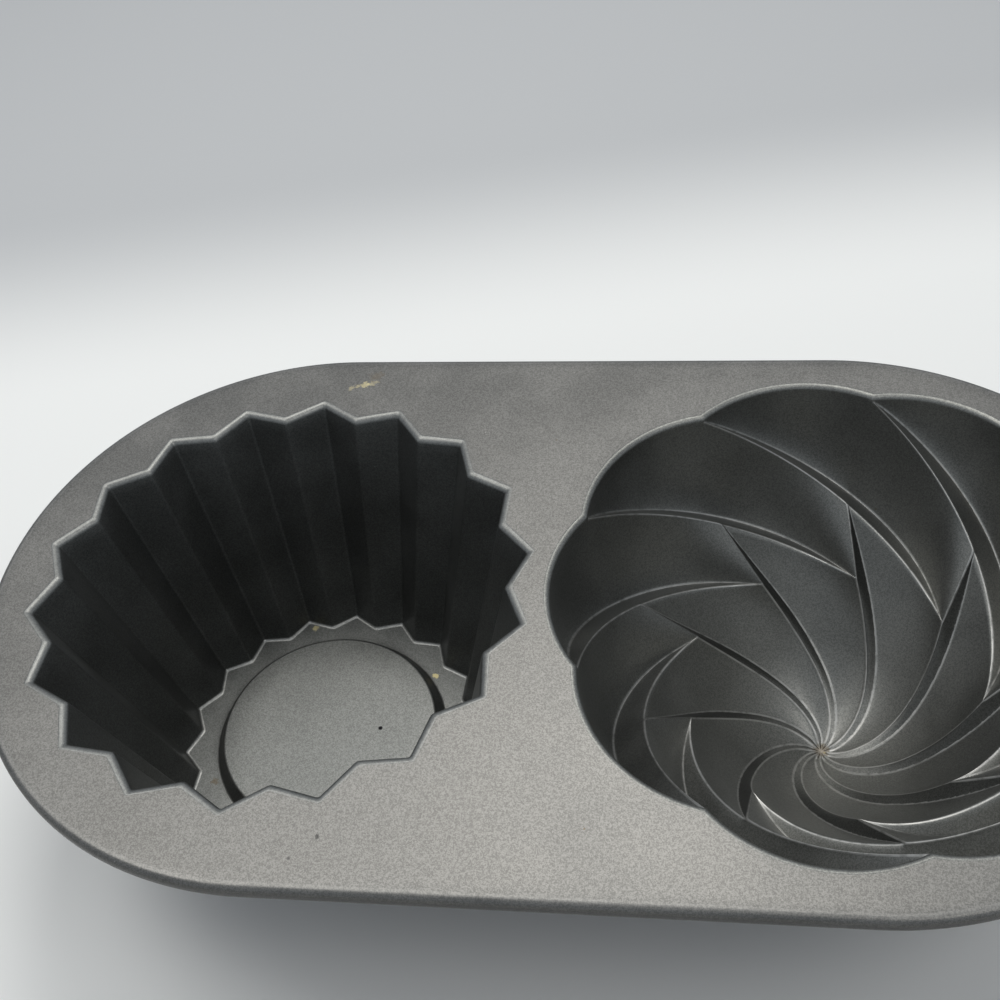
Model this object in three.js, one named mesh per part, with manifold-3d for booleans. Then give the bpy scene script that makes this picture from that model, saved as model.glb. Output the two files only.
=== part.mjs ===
// A two-cavity cast aluminium cake pan for a giant cupcake: a fluted cup for the base, a swirl for the top.
// Units are millimetres, +Z is up and +X runs along the pan, from the fluted cup to the swirl.
// The origin is the centre of the pan's footprint, on the surface that the pan stands on.
import * as THREE from "three";
import { mergeVertices } from "three/addons/utils/BufferGeometryUtils.js";
import Module from "manifold-3d";

// Casting
const WALL = 3.6; // wall of both cavities, square to the overall form
const FLOOR_THICKNESS = 4;
const DECK_THICKNESS = 4;
const CAVITY_DEPTH = 97.5; // from the top of the flange to the lowest point inside each cavity
const CAVITY_GAP = 0.1; // between the circles round the two cavities' outsides; their walls are further apart
const RIM_MARGIN = 14.8; // least flat land between a cavity and the edge of the flange
const CUT_OVERRUN = 2; // how far a cutting body runs past the face that it cuts

// Flange edge
const EDGE_ROUND = 2.2; // radius of the flange's top edge
const LIP_DROP = 2; // how far the turned-down lip hangs under the deck
const LIP_WIDTH = 5;
const LIP_SET_BACK = 0.5; // lip's face behind the deck's edge
const LIP_BEVEL = 0.9;
const MOUTH_ROUND = 1.8; // rounded edge where the flange turns down into a cavity

// Fluted cup
const CUP_FLUTES = 18;
const CUP_MOUTH_TIP_RADIUS = 84; // outward points of the flutes, at the flange
const CUP_MOUTH_FLUTE_DEPTH = 7.6;
const CUP_BASE_TIP_RADIUS = 57.9; // outward points of the flutes, at the cup floor
const CUP_BASE_FLUTE_DEPTH = 5.3;
const CUP_HEM = 1.4; // bevel round the foot of the cup, outside
const DISC_FOOT_RADIUS = 44.5; // raised disc in the cup floor
const DISC_TOP_RADIUS = 40.9;
const DISC_HEIGHT = 6.75;
const DISC_ROUND = 1.2;

// Swirl: nine outer petals that spiral down from the rim, and nine inner ones that go on to the apex
const PETALS = 9;
const CUSP_RADIUS = 89; // cusps between the lobes of the rim
const LOBE_BULGE = 5.2; // how much further out a lobe reaches than its cusps
const TIP_RADIUS = 49.9; // where an outer petal runs out in a point
const TIP_DEPTH = 54.4;
const TIP_TURN = 84.1; // degrees that a crest turns clockwise from its cusp to its tip
const BRANCH_TURN = 37.4; // degrees from the cusp to where an inner petal starts on the crest
const LEDGE_WIDTH = 11.3; // step between an outer petal's crest and its root, at its widest
const LEDGE_DROP = 5.9;
const CROWN_TURN = 91.5; // degrees that an inner petal turns from its branch to the apex
const CROWN_STEP_TURN = 6.6; // degrees across the step between two inner petals, at CIRCLE_RADIUS
const CIRCLE_RADIUS = 36; // inside this the inner petals' rows are plain circles
const FOOT_RADIUS = 16; // round foot under the apex
const FOOT_DRAFT = 1;
const OUTSIDE_LEAN = 40; // degrees from straight down, at the rim, in which the dome's wall is measured
const SLANT_WALL = 4.4; // the dome's wall in that direction, which is thinner square to the petals

// Shares and exponents of the swirl's curves
const CREST_SAG_SHARES = [1.8, 1.04]; // exponents of the crest's descent from cusp to tip
const LEDGE_SHARES = [0.9, 1.4]; // exponents of the ledge's width, towards the cusp and towards the tip
const LEDGE_DROP_SHARE = 1.2; // exponent of the ledge's drop against its width
const SCOOP_SHARE = 0.6; // how far an outer petal bellies from a straight slope to a quarter ellipse
const SCOOP_FADE_SHARE = 3; // exponent of the belly's fading towards the petal's straight end edge
const CROWN_SPIRAL_SHARES = [0.845, 1.376]; // exponents of the inner petals' turn against their radius
const CROWN_SPIRAL_BLEND_SHARE = -0.782; // from the first of the two exponents' curves to the second
const CROWN_STEP_TURN_SHARE = 0.4; // exponent of the step's narrowing, in degrees, with its radius
const CROWN_SLOPE_SHARES = [0.295, 0.487]; // linear and cubic fall of the crown, against the cavity depth
const CROWN_STEP_SHARE = 0.07; // height of the step between inner petals, against its radius
const CROWN_SCOOP_SHARE = 1.4; // exponent of an inner petal's rise from its root to the next crest

// Facets
const END_FACETS = 40; // half round at each end of the flange
const ROUND_FACETS = 3;
const DISC_FACETS = 72;
const LOBE_FACETS = 9;
const CREST_FACETS = 8; // crest from its cusp to its branch
const PETAL_ROWS = 5; // across an outer petal
const TAIL_FACETS = 8; // crest from its branch to its tip, and across an inner petal
const CROWN_BLEND_ROWS = 4;
const CROWN_CIRCLE_SHARES = [1, 0.84, 0.7, 0.57]; // circular rows of the crown, of CIRCLE_RADIUS
const APEX_ROW_SHARE = 0.45; // last row round the apex, of FOOT_RADIUS
const MERGE_SHARE = 1e-5; // points nearer to each other than this share of the wall are one point

// Worked out from the sizes above
const DEG = Math.PI / 180;
const HEIGHT = FLOOR_THICKNESS + CAVITY_DEPTH;
const DECK_UNDERSIDE = HEIGHT - DECK_THICKNESS;
const LOBE_RADIUS = CUSP_RADIUS + LOBE_BULGE;
const CAVITY_SPACING = CUP_MOUTH_TIP_RADIUS + WALL + CAVITY_GAP + WALL + LOBE_RADIUS;
const END_RADIUS = LOBE_RADIUS + RIM_MARGIN;
const LENGTH = 2 * RIM_MARGIN + CUP_MOUTH_TIP_RADIUS + CAVITY_SPACING + LOBE_RADIUS;
const CUP_X = RIM_MARGIN + CUP_MOUTH_TIP_RADIUS - LENGTH / 2;
const SWIRL_X = CUP_X + CAVITY_SPACING;
const PITCH = 360 / PETALS;

const wasm = await Module();
wasm.setup();

const lerp = (a, b, t) => a + (b - a) * t;
const polar = (radius, degrees, z) =>
  new THREE.Vector3(radius * Math.cos(degrees * DEG), radius * Math.sin(degrees * DEG), z);
const range = (count) => Array.from({ length: count }, (_, i) => i);

// A face is a list of three points. A geometry is made from faces, turned outwards, with its doubles merged.
function geometryOf(faces) {
  const volume = faces.reduce((sum, [a, b, c]) => sum + a.dot(b.clone().cross(c)), 0);
  const outward = volume < 0 ? faces.map(([a, b, c]) => [a, c, b]) : faces;
  const geometry = new THREE.BufferGeometry().setFromPoints(outward.flat());
  return mergeVertices(geometry, WALL * MERGE_SHARE);
}

// Two lines of points are joined by triangles, each step taken on the line that is behind.
function zip(left, right) {
  const faces = [];
  let i = 0;
  let j = 0;
  while (i < left.length - 1 || j < right.length - 1) {
    const next = (i + 1) / (left.length - 1);
    const other = (j + 1) / (right.length - 1);
    if (j === right.length - 1 || (i < left.length - 1 && next <= other)) {
      faces.push([left[i], left[i + 1], right[j]]);
      i += 1;
    } else {
      faces.push([left[i], right[j + 1], right[j]]);
      j += 1;
    }
  }
  return faces.filter(([a, b, c]) => !a.equals(b) && !b.equals(c) && !c.equals(a));
}

// Rows of points are joined to a surface. Closed rows run round, and each takes its first point again.
function weave(rows, closed = false) {
  const lines = closed ? rows.map((row) => [...row, row[0]]) : rows;
  return lines.slice(1).flatMap((row, i) => zip(lines[i], row));
}

// Faces seen from above are turned to wind anticlockwise, so that they all face up.
function facingUp(faces) {
  const areaOf = ([a, b, c]) => (b.x - a.x) * (c.y - a.y) - (c.x - a.x) * (b.y - a.y);
  const area = faces.reduce((sum, face) => sum + areaOf(face), 0);
  return area < 0 ? faces.map(([a, b, c]) => [a, c, b]) : faces;
}

// A surface becomes a wall: its own faces, the same faces moved by the rule outside, and the edges between
// them. Each edge face is split from its lower inside corner, so that two neighbours meet facet to facet.
function shellOf(faces, outside) {
  const key = (p) => p.toArray().map((v) => Math.round(v / (WALL * MERGE_SHARE)) + 0).join();
  const edges = new Map();
  for (const [a, b, c] of faces)
    for (const [from, to] of [[a, b], [b, c], [c, a]]) {
      const back = `${key(to)} ${key(from)}`;
      if (edges.has(back)) edges.delete(back);
      else edges.set(`${key(from)} ${key(to)}`, [from, to]);
    }
  const outer = faces.map(([a, b, c]) => [outside(a), outside(c), outside(b)]);
  const sides = [...edges.values()].flatMap(([from, to]) =>
    from.z > to.z
      ? [
          [to, from, outside(from)],
          [to, outside(from), outside(to)],
        ]
      : [
          [from, outside(to), to],
          [from, outside(from), outside(to)],
        ],
  );
  const hasArea = ([a, b, c]) => b.clone().sub(a).cross(c.clone().sub(a)).length() > 0;
  return [...faces, ...outer, ...sides].filter(hasArea);
}

const centreOf = (loop) => loop.reduce((sum, p) => sum.add(p), new THREE.Vector3()).divideScalar(loop.length);
const fan = (centre, loop) => loop.map((p, i) => [centre, p, loop[(i + 1) % loop.length]]);

// Loops stacked to a solid, closed by a fan over each end. Each loop is seen whole from its own centre.
function stack(loops, peak = centreOf(loops.at(-1))) {
  const bottom = fan(centreOf(loops[0]), loops[0]).map(([a, b, c]) => [a, c, b]);
  return [...bottom, ...weave(loops, true), ...fan(peak, loops.at(-1))];
}

// Loops joined in turn and back to the first: a ring with that section.
const ring = (loops) => weave([...loops, loops[0]], true);

function manifoldOf(faces) {
  const geometry = geometryOf(faces);
  return new wasm.Manifold(
    new wasm.Mesh({
      numProp: 3,
      vertProperties: geometry.attributes.position.array,
      triVerts: new Uint32Array(geometry.index.array),
    }),
  );
}

function geometryOfManifold(solid) {
  const { vertProperties, triVerts } = solid.getMesh();
  const geometry = new THREE.BufferGeometry();
  geometry.setAttribute("position", new THREE.BufferAttribute(vertProperties, 3));
  geometry.setIndex(new THREE.BufferAttribute(triVerts, 1));
  return geometry;
}

// Flange outline: two straight sides and two half rounds, drawn in by inset.
function flangeLoop(inset, z) {
  const radius = END_RADIUS - inset;
  const centre = LENGTH / 2 - END_RADIUS;
  return [1, -1].flatMap((side) =>
    range(END_FACETS + 1).map((i) => {
      const turn = side > 0 ? lerp(-90, 90, i / END_FACETS) : lerp(90, 270, i / END_FACETS);
      return polar(radius, turn, z).add(new THREE.Vector3(side * centre, 0, 0));
    }),
  );
}

// Cup outline: straight flanks between outward tips and inward valleys, with a valley towards the swirl.
function cupLoop(tip, fluteDepth, z) {
  const half = 180 / CUP_FLUTES;
  return range(2 * CUP_FLUTES).map((i) => polar(i % 2 ? tip : tip - fluteDepth, half * i, z));
}

// How much further out a flute's outside lies than its inside, along the radius, for a wall square to it.
function fluteOffset(tip, fluteDepth, wall) {
  const half = (180 / CUP_FLUTES) * DEG;
  const run = (tip - fluteDepth) * Math.sin(half);
  const rise = tip - (tip - fluteDepth) * Math.cos(half);
  return (wall * Math.hypot(run, rise)) / run;
}

// Size of the cup at a height, from 0 at its floor to 1 at the flange's top.
function cupAt(height) {
  const share = (height - FLOOR_THICKNESS) / CAVITY_DEPTH;
  return {
    tip: lerp(CUP_BASE_TIP_RADIUS, CUP_MOUTH_TIP_RADIUS, share),
    flute: lerp(CUP_BASE_FLUTE_DEPTH, CUP_MOUTH_FLUTE_DEPTH, share),
  };
}

function cupInside(z, offset = 0) {
  const { tip, flute } = cupAt(z);
  return cupLoop(tip + offset, flute, z);
}

function cupOutside(z, inset = 0) {
  const { tip, flute } = cupAt(z);
  return cupLoop(tip + fluteOffset(tip, flute, WALL) - inset, flute, z);
}

// Radius of the swirl's rim at a turn clockwise from a cusp, widened by offset. A lobe is an arc of a circle.
function lobeRadius(turn, offset = 0) {
  const away = (((turn % PITCH) + PITCH) % PITCH) - PITCH / 2;
  const chord = CUSP_RADIUS * Math.sin((PITCH / 2) * DEG);
  const sagitta = LOBE_RADIUS - CUSP_RADIUS * Math.cos((PITCH / 2) * DEG);
  const arc = (chord * chord + sagitta * sagitta) / (2 * sagitta);
  const centre = LOBE_RADIUS - arc;
  const across = centre * Math.sin(away * DEG);
  return centre * Math.cos(away * DEG) + Math.sqrt(Math.pow(arc + offset, 2) - across * across);
}

// A point of the swirl: petal number, turn clockwise from its cusp, radius, and depth under the flange's top.
const swirlPoint = (petal, turn, radius, depth) =>
  polar(radius, 180 - PITCH / 2 + PITCH * petal - turn, HEIGHT - depth);

const crestRadius = (turn) => CUSP_RADIUS * Math.pow(TIP_RADIUS / CUSP_RADIUS, turn / TIP_TURN);

function crestDepth(turn) {
  const [sag, ease] = CREST_SAG_SHARES;
  const share = Math.pow(1 - Math.pow(1 - turn / TIP_TURN, sag), ease);
  return lerp(DECK_THICKNESS, TIP_DEPTH, share);
}

// Width of the ledge between a crest and its root, from 0 at the cusp through 1 to 0 at the tip.
function ledgeShare(turn) {
  const [a, b] = LEDGE_SHARES;
  const share = Math.min(Math.max(turn / TIP_TURN, 0), 1);
  const peak = Math.pow(a / (a + b), a) * Math.pow(b / (a + b), b);
  return (Math.pow(share, a) * Math.pow(1 - share, b)) / peak;
}

const crest = (petal, turn) => swirlPoint(petal, turn, crestRadius(turn), crestDepth(turn));

function root(petal, turn) {
  const ledge = ledgeShare(turn);
  const radius = crestRadius(turn) + LEDGE_WIDTH * ledge;
  return swirlPoint(petal, turn, radius, crestDepth(turn) + LEDGE_DROP * Math.pow(ledge, LEDGE_DROP_SHARE));
}

const branchRadius = crestRadius(BRANCH_TURN);

const lobeTurns = range(LOBE_FACETS).map((i) => (PITCH * i) / LOBE_FACETS);
const crestTurns = range(CREST_FACETS + 1).map((i) => (BRANCH_TURN * i) / CREST_FACETS);
const tailTurns = range(TAIL_FACETS + 1).map((i) => lerp(BRANCH_TURN, TIP_TURN, i / TAIL_FACETS));

// Upper edge of an outer petal: its lobe of the rim, then the next petal's crest as far as the branch.
function petalTop(petal) {
  const lobe = lobeTurns.map((turn) => swirlPoint(petal, turn, lobeRadius(turn), DECK_THICKNESS));
  return [...lobe, ...crestTurns.map((turn) => crest(petal - 1, turn))];
}

// Lower edge of an outer petal, with as many points as its upper edge.
function petalRoot(petal) {
  const reach = PITCH + BRANCH_TURN;
  const turns = [...lobeTurns, ...crestTurns.map((turn) => PITCH + turn)];
  return turns.map((turn, i) => {
    if (i === 0) return crest(petal, 0);
    return i === turns.length - 1 ? crest(petal, TIP_TURN) : root(petal, (turn * TIP_TURN) / reach);
  });
}

// A point between an outer petal's two edges, on a scooped section that drops steeply and then runs out.
function scoop(top, low, share, belly) {
  const quarter = (share * Math.PI) / 2;
  const across = lerp(share, 1 - Math.cos(quarter), belly);
  const down = lerp(share, Math.sin(quarter), belly);
  return new THREE.Vector3(lerp(top.x, low.x, across), lerp(top.y, low.y, across), lerp(top.z, low.z, down));
}

function petalRows(petal) {
  const top = petalTop(petal);
  const low = petalRoot(petal);
  return top.map((point, i) => {
    const belly = SCOOP_SHARE * (1 - Math.pow(i / (top.length - 1), SCOOP_FADE_SHARE));
    return range(PETAL_ROWS + 1).map((j) => {
      if (j === 0 || i === 0) return j === PETAL_ROWS ? low[i] : point;
      return j === PETAL_ROWS ? low[i] : scoop(point, low[i], j / PETAL_ROWS, belly);
    });
  });
}

const crestLine = (petal) => [...crestTurns, ...tailTurns.slice(1)].map((turn) => crest(petal, turn));

// Turn of an inner petal's root at a radius, clockwise from the cusp of the crest that it starts on.
function crownRootTurn(radius) {
  const [first, second] = CROWN_SPIRAL_SHARES.map((exponent) => Math.pow(radius / branchRadius, exponent));
  return BRANCH_TURN + CROWN_TURN * (1 - lerp(first, second, CROWN_SPIRAL_BLEND_SHARE));
}

// Degrees from an inner petal's root to the next crest, at a radius.
const crownWidth = (radius) =>
  PITCH - CROWN_STEP_TURN * Math.pow(CIRCLE_RADIUS / radius, CROWN_STEP_TURN_SHARE);

// Depth of the crown, at a radius and a share of the way from an inner petal's root to the next crest.
function crownDepth(radius, share) {
  const [linear, cubic] = CROWN_SLOPE_SHARES;
  const out = radius / branchRadius;
  const step = CROWN_STEP_SHARE * radius * Math.pow(share, CROWN_SCOOP_SHARE);
  return CAVITY_DEPTH * (1 - linear * out - cubic * Math.pow(out, 3)) - step;
}

// A row of an inner petal on a circle, from its root clockwise to the crest of the next inner petal.
const crownCircle = (petal, radius) =>
  range(TAIL_FACETS + 1).map((i) => {
    const share = i / TAIL_FACETS;
    const turn = crownRootTurn(radius) + share * crownWidth(radius);
    return swirlPoint(petal, turn, radius, crownDepth(radius, share));
  });

// A row of an inner petal, between the outer crest that it hangs from, at a blend of 1, and a circle at 0.
const crownBlend = (petal, blend) =>
  tailTurns.map((edgeTurn, i) => {
    const share = i / TAIL_FACETS;
    const edgeRadius = crestRadius(edgeTurn);
    const radius = lerp(CIRCLE_RADIUS, edgeRadius, blend);
    const swing = edgeTurn - crownRootTurn(edgeRadius) - share * crownWidth(edgeRadius);
    const lift = crestDepth(edgeTurn) - crownDepth(edgeRadius, share);
    const turn = crownRootTurn(radius) + share * crownWidth(radius) + swing * blend * blend;
    return swirlPoint(petal, turn, radius, crownDepth(radius, share) + lift * blend * blend);
  });

function crownRows(petal) {
  const blends = range(CROWN_BLEND_ROWS - 1).map((i) => 1 - (i + 1) / CROWN_BLEND_ROWS);
  return [
    tailTurns.map((turn) => crest(petal, turn)),
    ...blends.map((blend) => crownBlend(petal, blend)),
    ...CROWN_CIRCLE_SHARES.map((share) => crownCircle(petal, share * CIRCLE_RADIUS)),
    crownCircle(petal, FOOT_RADIUS),
  ];
}

// The outer tier's inside: each petal, and the ledge between its root and its crest.
function outerTierFaces() {
  return range(PETALS).flatMap((petal) => [
    ...facingUp(weave(petalRows(petal))),
    ...facingUp(zip(petalRoot(petal), crestLine(petal))),
  ]);
}

// The crown's inside: each inner petal, and the step from its root up to the crest of the petal next to it.
// The step is a fan along the outer petal's end, from the branch to the tip, and then a band to the foot.
function crownFaces() {
  return range(PETALS).flatMap((petal) => {
    const rows = crownRows(petal);
    const stepRoot = rows.map((row) => row[0]);
    const stepCrest = crownRows(petal + 1).map((row) => row.at(-1));
    return [
      ...facingUp(weave(rows)),
      ...facingUp(zip([stepRoot[1]], petalRows(petal + 1).at(-1))),
      ...facingUp(zip(stepRoot.slice(1), stepCrest)),
    ];
  });
}

// The outside of the swirl's wall. Each point moves straight down at the foot, more and more outwards up the
// dome, and level at the deck, so that the wall meets the deck on a flat face and never folds over a ledge.
function swirlOutside(point) {
  const radius = Math.hypot(point.x, point.y);
  const out = THREE.MathUtils.clamp((radius - FOOT_RADIUS) / (CUSP_RADIUS - FOOT_RADIUS), 0, 1);
  const level = point.z > DECK_UNDERSIDE - WALL * MERGE_SHARE;
  const lean = level ? 90 : OUTSIDE_LEAN * Math.sqrt(out);
  const length = level ? WALL : SLANT_WALL;
  const grown = 1 + (length * Math.sin(lean * DEG)) / radius;
  return new THREE.Vector3(point.x * grown, point.y * grown, point.z - length * Math.cos(lean * DEG));
}

// Rounded mouth of a cavity: loops for a cutting body that flares out to the flange's top.
function mouthLoops(loopAt) {
  const arc = range(ROUND_FACETS + 1).map((i) => {
    const angle = (90 * DEG * i) / ROUND_FACETS;
    return loopAt(HEIGHT - MOUTH_ROUND * (1 - Math.sin(angle)), MOUTH_ROUND * (1 - Math.cos(angle)));
  });
  return [loopAt(DECK_UNDERSIDE - CUT_OVERRUN, 0), ...arc, loopAt(HEIGHT + CUT_OVERRUN, MOUTH_ROUND)];
}

function swirlMouth(z, offset) {
  return range(PETALS).flatMap((petal) =>
    lobeTurns.map((turn) => swirlPoint(petal, PITCH - turn, lobeRadius(turn, offset), HEIGHT - z)),
  );
}

function makeDeck() {
  const round = range(ROUND_FACETS + 1).map((i) => {
    const angle = (90 * DEG * i) / ROUND_FACETS;
    return flangeLoop(EDGE_ROUND * (1 - Math.cos(angle)), HEIGHT - EDGE_ROUND * (1 - Math.sin(angle)));
  });
  const plate = manifoldOf(stack([flangeLoop(0, DECK_UNDERSIDE), ...round]));
  const cupCut = manifoldOf(stack(mouthLoops(cupInside))).translate([CUP_X, 0, 0]);
  const swirlCut = manifoldOf(stack(mouthLoops(swirlMouth))).translate([SWIRL_X, 0, 0]);
  return geometryOfManifold(plate.subtract(cupCut).subtract(swirlCut));
}

function makeLip() {
  const bottom = DECK_UNDERSIDE - LIP_DROP;
  return geometryOf(
    ring([
      flangeLoop(LIP_SET_BACK, DECK_UNDERSIDE),
      flangeLoop(LIP_SET_BACK, bottom + LIP_BEVEL),
      flangeLoop(LIP_SET_BACK + LIP_BEVEL, bottom),
      flangeLoop(LIP_WIDTH, bottom),
      flangeLoop(LIP_WIDTH, DECK_UNDERSIDE),
    ]),
  );
}

function makeCupWall() {
  return geometryOf(
    ring([
      cupInside(DECK_UNDERSIDE),
      cupInside(FLOOR_THICKNESS),
      cupOutside(FLOOR_THICKNESS),
      cupOutside(DECK_UNDERSIDE),
    ]),
  );
}

const circleLoop = (radius, z) => range(DISC_FACETS).map((i) => polar(radius, (360 / DISC_FACETS) * i, z));

// Radius of the recess under the raised disc, at the floor's underside and at its top face.
const discDraft = (DISC_FOOT_RADIUS - DISC_TOP_RADIUS) / DISC_HEIGHT;
const recessRadius = (z) => DISC_FOOT_RADIUS - FLOOR_THICKNESS - discDraft * z;

function makeCupFloor() {
  const midway = (loop, i) => loop[i].clone().lerp(loop[(i + 1) % loop.length], 0.5);
  const spread = (loop) => loop.flatMap((point, i) => [point, midway(loop, i)]);
  return geometryOf(
    ring([
      circleLoop(recessRadius(FLOOR_THICKNESS), FLOOR_THICKNESS),
      spread(cupOutside(FLOOR_THICKNESS)),
      spread(cupOutside(CUP_HEM)),
      spread(cupOutside(0, CUP_HEM)),
      circleLoop(recessRadius(0), 0),
    ]),
  );
}

// The disc's loops run from the ceiling of its recess, down and out to its foot, and up to its top.
function makeCupDisc() {
  const top = FLOOR_THICKNESS + DISC_HEIGHT;
  const shoulder = DISC_TOP_RADIUS + discDraft * DISC_ROUND;
  return geometryOf(
    stack([
      circleLoop(recessRadius(DISC_HEIGHT), DISC_HEIGHT),
      circleLoop(recessRadius(FLOOR_THICKNESS), FLOOR_THICKNESS),
      circleLoop(DISC_FOOT_RADIUS, FLOOR_THICKNESS),
      circleLoop(shoulder, top - DISC_ROUND),
      circleLoop(DISC_TOP_RADIUS - DISC_ROUND, top),
    ]),
  );
}

// The apex closes the crown: its top holds the inner petals' ends, and its foot is level with the cup's.
function makeApex() {
  const loopAt = (radius) => range(PETALS).flatMap((petal) => crownCircle(petal, radius).reverse());
  const rim = loopAt(FOOT_RADIUS);
  const sole = rim.map((point) => new THREE.Vector3(point.x, point.y, 0).setLength(FOOT_RADIUS - FOOT_DRAFT));
  const peak = new THREE.Vector3(0, 0, HEIGHT - CAVITY_DEPTH);
  return geometryOf(stack([sole, rim.map(swirlOutside), rim, loopAt(APEX_ROW_SHARE * FOOT_RADIUS)], peak));
}

const coating = new THREE.MeshStandardMaterial({ color: "#74736f", roughness: 0.5, metalness: 0.45 });
const coatingInside = coating.clone();
coatingInside.color.set("#5d5e5b");

const part = (name, geometry, material = coatingInside) => {
  const mesh = new THREE.Mesh(geometry, material);
  mesh.name = name;
  return mesh;
};

const cup = new THREE.Group();
cup.position.x = CUP_X;
cup.add(
  part("cup_wall", makeCupWall()),
  part("cup_floor", makeCupFloor()),
  part("cup_floor_disc", makeCupDisc()),
);

const swirl = new THREE.Group();
swirl.position.x = SWIRL_X;
swirl.add(
  part("swirl_petals", geometryOf(shellOf(outerTierFaces(), swirlOutside))),
  part("swirl_crown", geometryOf(shellOf(crownFaces(), swirlOutside))),
  part("swirl_apex", makeApex()),
);

const pan = new THREE.Group();
pan.add(part("flange_deck", makeDeck(), coating), part("flange_lip", makeLip(), coating), cup, swirl);

export default pan;
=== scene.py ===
"""Looks of a cast aluminium cake pan for one giant cupcake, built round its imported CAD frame.

Lengths are in metres, in the frame of the pan: +X from the fluted cup to the swirl, +Z up.
"""

import math

import bmesh
import bpy
import numpy as np
from mathutils import Matrix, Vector
from mathutils.geometry import tessellate_polygon


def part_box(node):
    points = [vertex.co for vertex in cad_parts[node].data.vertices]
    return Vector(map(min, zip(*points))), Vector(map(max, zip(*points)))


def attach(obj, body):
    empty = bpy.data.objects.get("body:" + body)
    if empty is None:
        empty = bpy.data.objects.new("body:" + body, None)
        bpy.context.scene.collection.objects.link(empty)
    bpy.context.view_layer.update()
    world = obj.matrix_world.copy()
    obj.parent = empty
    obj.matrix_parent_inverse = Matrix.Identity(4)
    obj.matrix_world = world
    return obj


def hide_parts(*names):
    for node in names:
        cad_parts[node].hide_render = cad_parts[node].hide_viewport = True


bl_info = {
    "name": "Giant cupcake pan",
    "version": (1, 0, 0),
    "blender": (4, 5, 0),
    "location": "3D View > Sidebar > Cake pan",
    "description": "Builds a two-cavity cast cake pan, its coating, and a studio to show it in",
    "category": "Object",
}

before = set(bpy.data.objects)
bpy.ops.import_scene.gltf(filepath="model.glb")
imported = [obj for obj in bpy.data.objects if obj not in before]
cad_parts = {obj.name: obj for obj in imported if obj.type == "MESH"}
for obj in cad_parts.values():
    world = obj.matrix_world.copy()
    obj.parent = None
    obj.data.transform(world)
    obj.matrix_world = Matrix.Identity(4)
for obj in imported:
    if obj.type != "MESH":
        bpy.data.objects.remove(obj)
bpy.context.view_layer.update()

MM = 0.001

deck_low, deck_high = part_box("flange_deck")
disc_low, disc_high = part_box("cup_floor_disc")

HEIGHT = deck_high.z
UNDERSIDE = deck_low.z
LIP_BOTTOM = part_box("flange_lip")[0].z
FLOOR_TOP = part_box("cup_wall")[0].z
DISC_TOP = disc_high.z
CUP_X = (disc_low.x + disc_high.x) / 2
END_RADIUS = (deck_high.y - deck_low.y) / 2
END_X = deck_high.x - END_RADIUS
SWIRL_SHIFT = np.array([END_X, 0, 0])
CAVITY_DEPTH = HEIGHT - FLOOR_TOP


def size_mm(name, description, millimetres):
    return bpy.props.FloatProperty(
        name=name, description=description, default=millimetres * MM, unit="LENGTH")


def angle_prop(name, description, degrees):
    return bpy.props.FloatProperty(
        name=name, description=description, default=math.radians(degrees), subtype="ANGLE")


def share_prop(name, description, value):
    return bpy.props.FloatProperty(
        name=name, description=description, default=value, min=0, max=1, subtype="FACTOR")


def count_prop(name, description, value, least):
    return bpy.props.IntProperty(name=name, description=description, default=value, min=least)


def colour_prop(name, description, value):
    return bpy.props.FloatVectorProperty(
        name=name, description=description, default=value, min=0, max=1, size=3, subtype="COLOR")


class FlangeSizes(bpy.types.PropertyGroup):
    edge_round: size_mm("Edge round", "Radius of the flange's top edge", 2.2)
    lip_set_back: size_mm("Lip set-back", "Lip's face behind the deck's edge", 0.5)
    lip_round: size_mm("Lip round", "Radius of the lip's lower edges", 0.9)
    lip_width: size_mm("Lip width", "From the flange's edge to its lip's inside", 5)
    mouth_round: size_mm("Mouth round", "Radius of each cavity's edge", 1.8)
    flare: size_mm("Flare", "Fillet between cavity and flange below", 3)


class CupSizes(bpy.types.PropertyGroup):
    flutes: count_prop("Flutes", "Flutes round the cup", 18, 6)
    mouth_tip: size_mm("Mouth radius", "Tips of the flutes at the flange", 84)
    mouth_flute: size_mm("Mouth flute depth", "Depth of the flutes at the flange", 7.6)
    base_tip: size_mm("Floor radius", "Tips of the flutes at the floor", 57.9)
    base_flute: size_mm("Floor flute depth", "Depth of the flutes at the floor", 5.3)
    corner: size_mm("Corner", "Rounding of the flutes' corners", 0.9)
    wall: size_mm("Wall", "Wall of the cup", 3.6)
    floor_fillet: size_mm("Floor fillet", "Fillet between wall and floor", 1.1)
    disc_foot: size_mm("Disc foot", "Foot radius of the raised disc", 44.5)
    disc_top: size_mm("Disc top", "Top radius of the raised disc", 41.3)
    disc_round: size_mm("Disc round", "Rounding of the disc's edge and foot", 1.5)


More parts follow.
